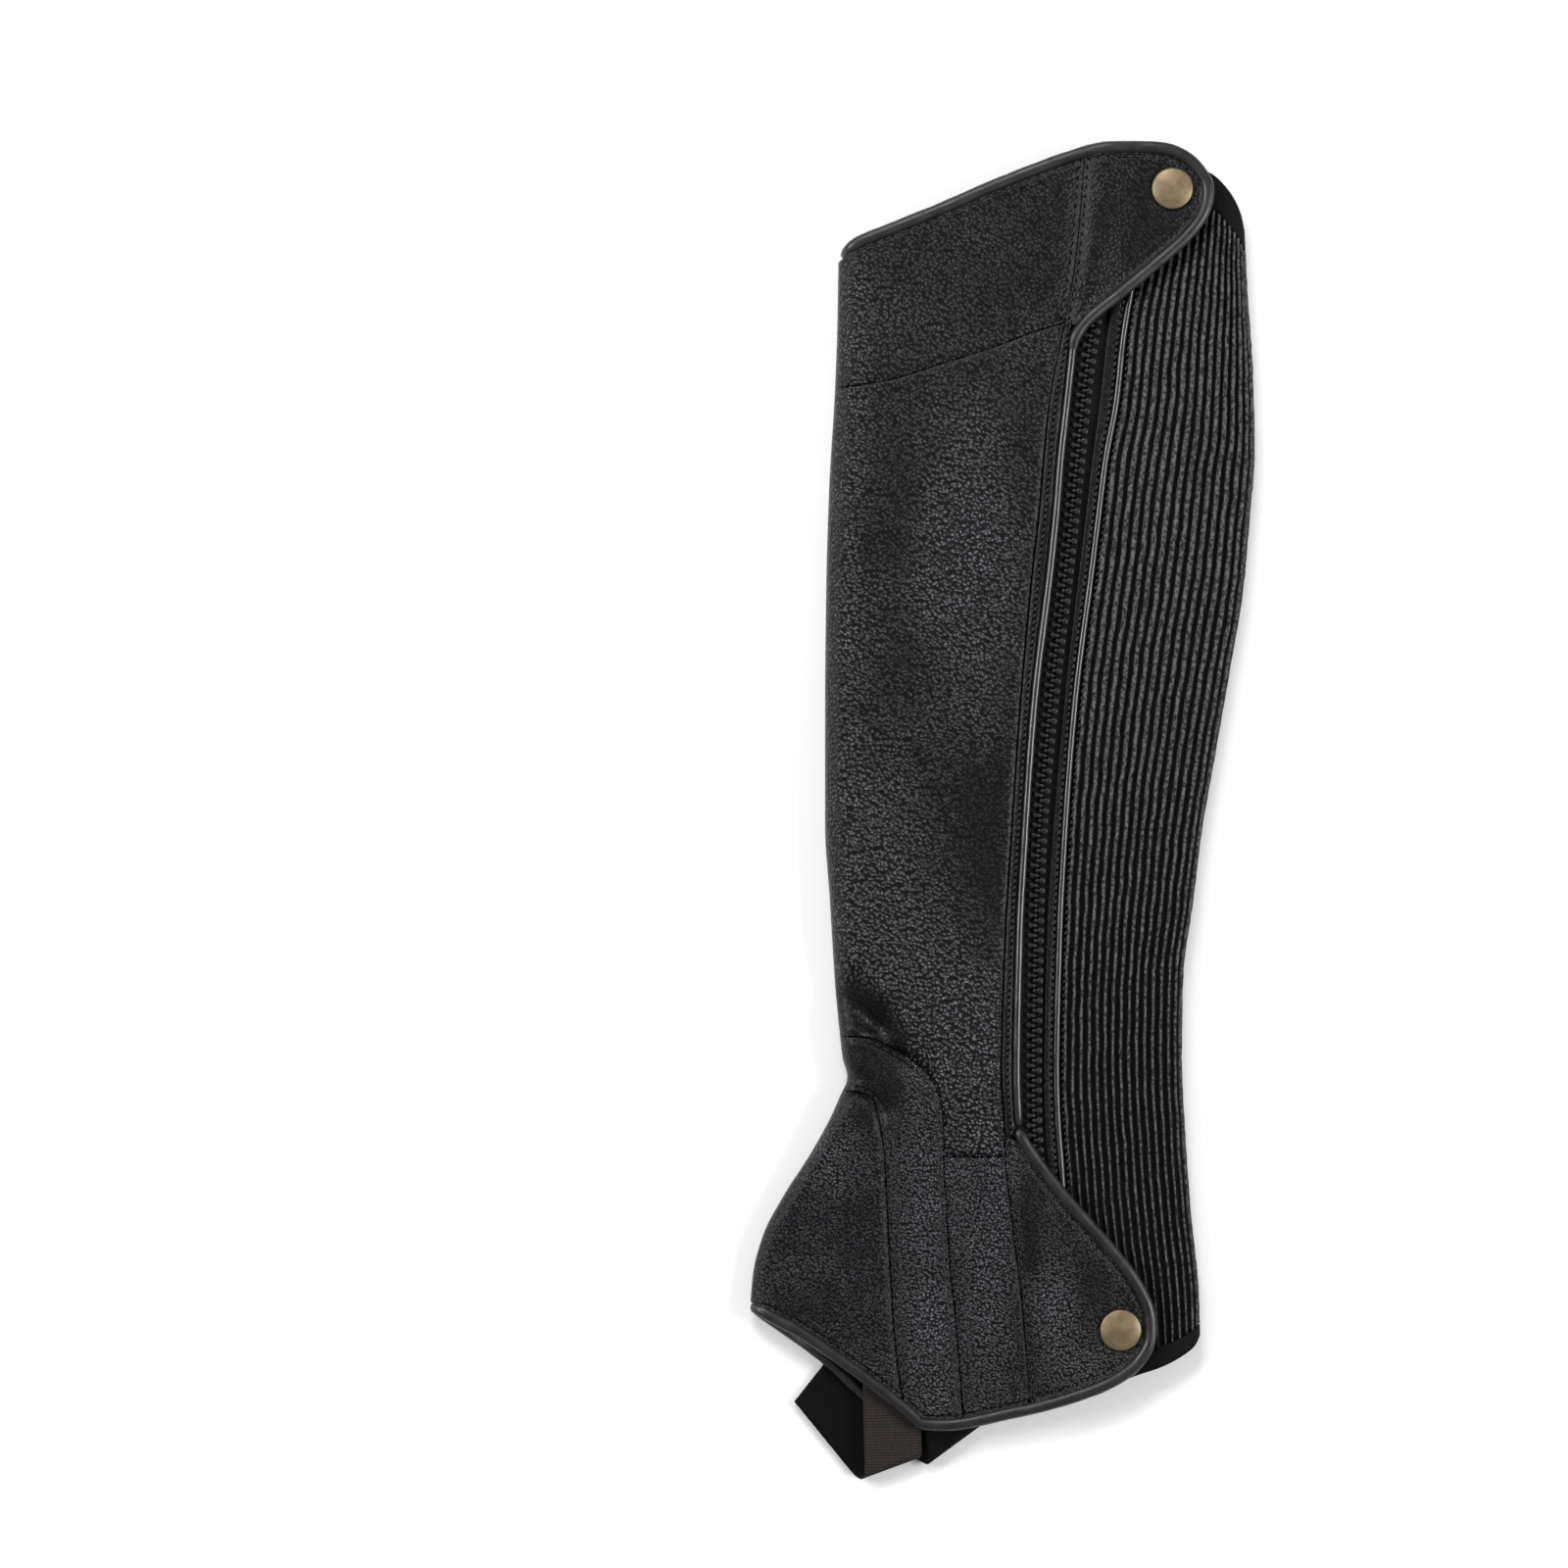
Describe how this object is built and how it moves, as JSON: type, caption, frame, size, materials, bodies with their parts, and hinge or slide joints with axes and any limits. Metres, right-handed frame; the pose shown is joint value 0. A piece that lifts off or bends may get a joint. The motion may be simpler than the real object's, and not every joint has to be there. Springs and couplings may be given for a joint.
{
  "type": "half chap",
  "caption": "Leather half chap for the lower leg with a ribbed elastic calf panel, full-length zip, snapped tabs and an elastic stirrup strap, laid flat.",
  "frame": {"origin": "middle of the box around the flattened half chap, on the ground that its inner side lies on", "axes": "+Y from the foot to the knee, +Z out of the outer side, which carries the zip; the shin fold is at -X and the elastic calf fold at +X"},
  "size_m": [0.1756, 0.4651, 0.0185],
  "materials": {
    "leather": "black pebbled leather, semi-matte",
    "piping": "smooth black leather, satin",
    "elastic": "black ribbed elastic",
    "webbing": "black woven elastic webbing and tape",
    "zip": "black moulded zip",
    "snap": "antique brass"
  },
  "bodies": {
    "root": {"leg_panel": "leather", "yoke_panel": "leather", "instep_panel": "leather", "vamp_panel": "leather", "ankle_panel": "leather", "inner_ankle_panel": "leather", "upper_tab": "leather", "lower_tab": "leather", "zip_guard": "leather", "zip_guard_piping": "piping", "elastic_facing": "leather", "elastic_facing_piping": "piping", "top_binding": "piping", "hem_binding": "piping", "elastic_panel": "elastic", "elastic_top_band": "webbing", "elastic_bottom_band": "webbing", "stirrup_strap": "webbing", "zip_tape_front": "zip", "zip_tape_back": "zip", "zip_chain": "zip", "zip_slider": "zip", "zip_pull": "zip", "snap_cap_upper": "snap", "snap_cap_lower": "snap", "snap_socket_upper": "snap", "snap_socket_lower": "snap"}
  },
  "joints": []
}
